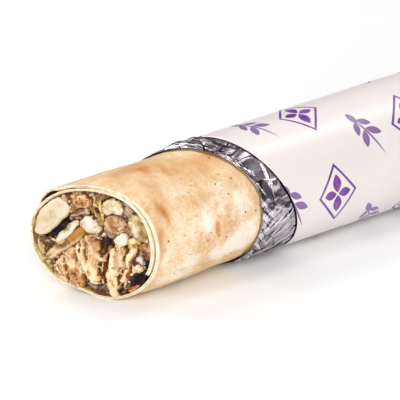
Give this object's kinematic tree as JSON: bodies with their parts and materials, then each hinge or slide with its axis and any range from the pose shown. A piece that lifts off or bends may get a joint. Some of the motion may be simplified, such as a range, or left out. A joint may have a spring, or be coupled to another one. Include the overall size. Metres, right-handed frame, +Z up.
{
  "type": "chicken julienne wrap",
  "caption": "Flatbread wrap filled with chicken strips, cheese and vegetables, cut at a slant, in foil and a printed paper sleeve.",
  "frame": {"origin": "middle of the bounding box, at the level of the surface that the wrap rests on", "axes": "+X along the roll, from the slanted cut to the folded end of the paper; +Z up; -Y is the near side in the picture"},
  "size_m": [0.2155, 0.0583, 0.0559],
  "materials": {
    "flatbread": "soft toasted flatbread, floury, with golden and brown spots",
    "foil": "crumpled kitchen foil, half bright",
    "paper": null,
    "filling": "moist packed filling in sauce",
    "chicken": "fried chicken strips, fibrous and moist, browned along their edges",
    "cheese": "soft white cheese, slightly moist",
    "toasted_cheese": "golden browned side of a cheese slab",
    "pale_vegetable": "cooked, watery and slightly see-through slices",
    "mushroom": "cooked mushroom, grey brown and moist",
    "olive": "black olive, wet",
    "leaf": "wilted yellow green leaf, crumpled and moist",
    "pepper": "cooked pepper, orange brown and oily",
    "crisp": "fried crust, rough and brown"
  },
  "bodies": {
    "root": {"flatbread": "flatbread", "foil": "foil", "paper": "paper", "filling_core": "filling", "cheese_large": "cheese", "white_block": "cheese", "white_arm": "cheese", "golden_slab": "toasted_cheese", "olive_strip": "olive", "chicken_b": "chicken", "chicken_a": "chicken", "chicken_c": "chicken", "chicken_d": "chicken", "chicken_e": "chicken", "chicken_f": "chicken", "taupe_meat": "chicken", "white_cube": "cheese", "corn_bit": "pale_vegetable", "pale_slice_left": "pale_vegetable", "pale_slice_right": "pale_vegetable", "pale_slice_top": "pale_vegetable", "mushroom_top": "mushroom", "mushroom_right": "mushroom", "mushroom_left": "mushroom", "mushroom_bottom": "mushroom", "brown_crumb": "crisp", "brown_bit": "crisp", "leaf_strip": "leaf", "pickle_leaf": "leaf", "green_strip": "leaf", "pepper_top": "pepper", "pepper_bottom": "pepper", "crisp_piece": "crisp", "onion_piece": "pale_vegetable", "olive_right": "olive", "olive_bottom": "olive", "cream_bit": "cheese", "mince_bottom": "mushroom"}
  },
  "joints": []
}
